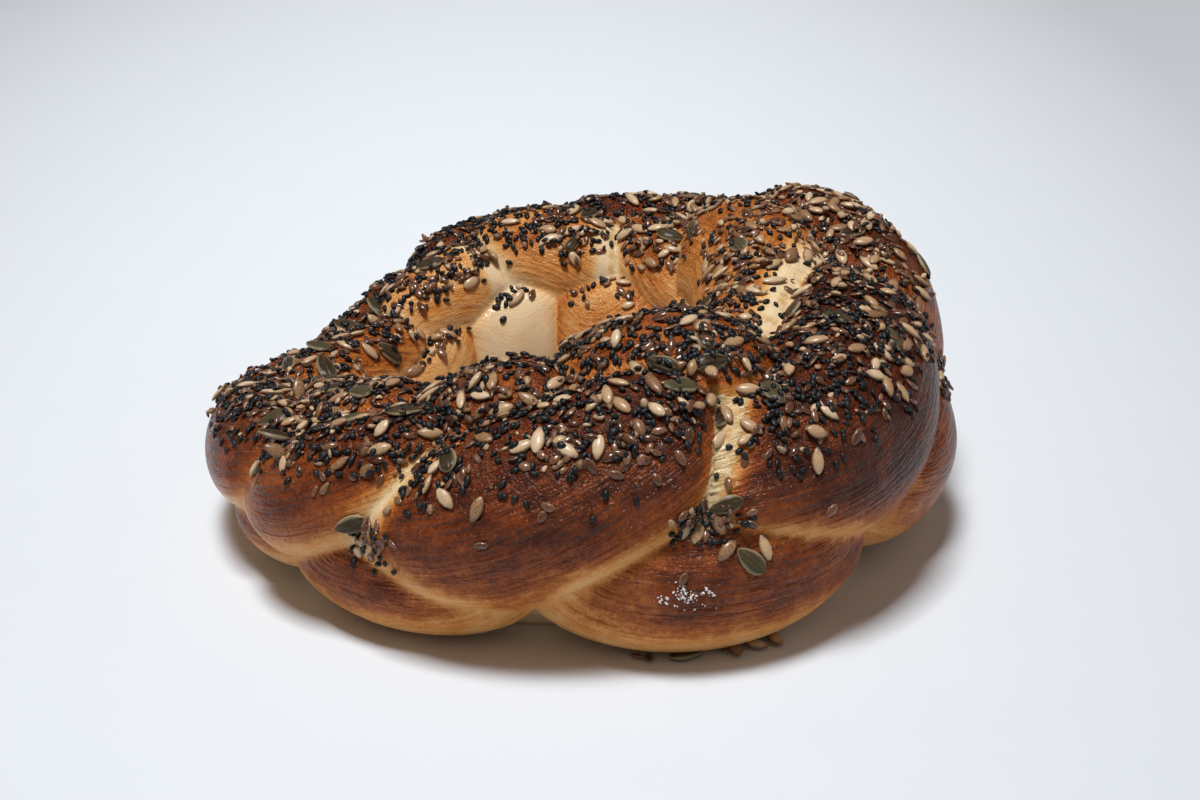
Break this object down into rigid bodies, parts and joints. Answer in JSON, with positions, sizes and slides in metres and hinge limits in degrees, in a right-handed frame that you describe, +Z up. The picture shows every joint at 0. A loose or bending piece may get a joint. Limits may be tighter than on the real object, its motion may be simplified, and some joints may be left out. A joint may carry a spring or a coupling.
{
  "type": "braided ring loaf",
  "caption": "Round braided challah loaf with a hole in the middle, its top thickly covered with mixed seeds.",
  "frame": {"origin": "on the surface the loaf rests on, under the middle of its bounding box", "axes": "+Z up, -Y towards the viewer, +X to the viewer's right, where the loaf is tallest"},
  "size_m": [0.2719, 0.2598, 0.103],
  "materials": {
    "crust": "satin egg-washed crust, mahogany brown, paler in the creases, with seeds"
  },
  "bodies": {
    "root": {"challah": "crust"}
  },
  "joints": []
}
